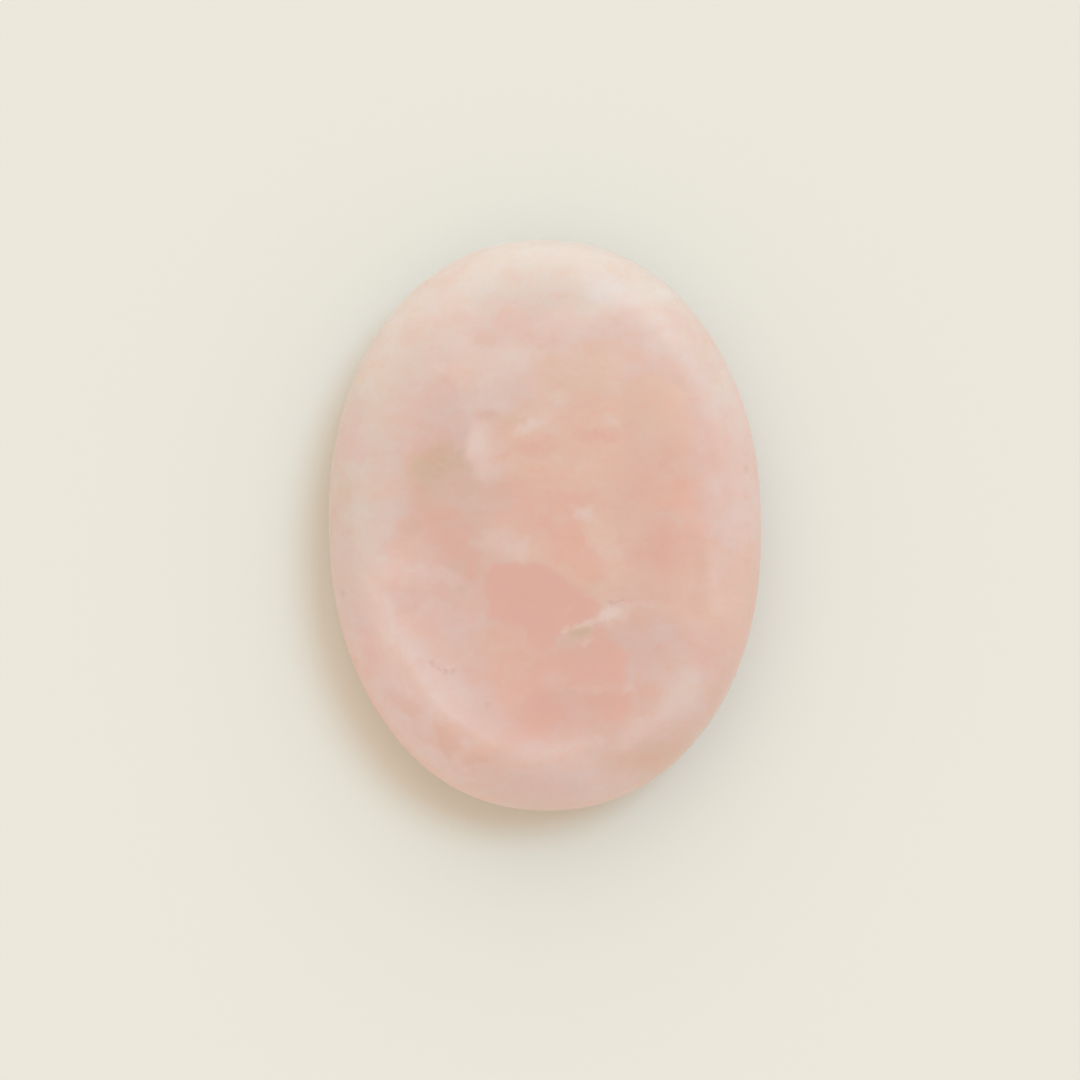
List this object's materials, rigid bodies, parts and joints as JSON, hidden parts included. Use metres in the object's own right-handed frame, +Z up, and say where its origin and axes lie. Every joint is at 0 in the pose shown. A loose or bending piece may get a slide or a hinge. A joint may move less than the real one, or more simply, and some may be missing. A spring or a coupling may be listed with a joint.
{
  "type": "palm stone",
  "caption": "Oval palm stone of pink quartz, satin polished, with a shallow thumb hollow ground into its top and a small flat spot to rest on.",
  "frame": {"origin": "under the middle of the stone, on the surface it lies on", "axes": "+Y along the long way of the oval, +X across it, +Z up out of the thumb hollow"},
  "size_m": [0.0454, 0.06, 0.0134],
  "materials": {
    "rose_quartz": "satin polish, cloudy pink quartz"
  },
  "bodies": {
    "root": {"palm_stone": "rose_quartz"}
  },
  "joints": []
}
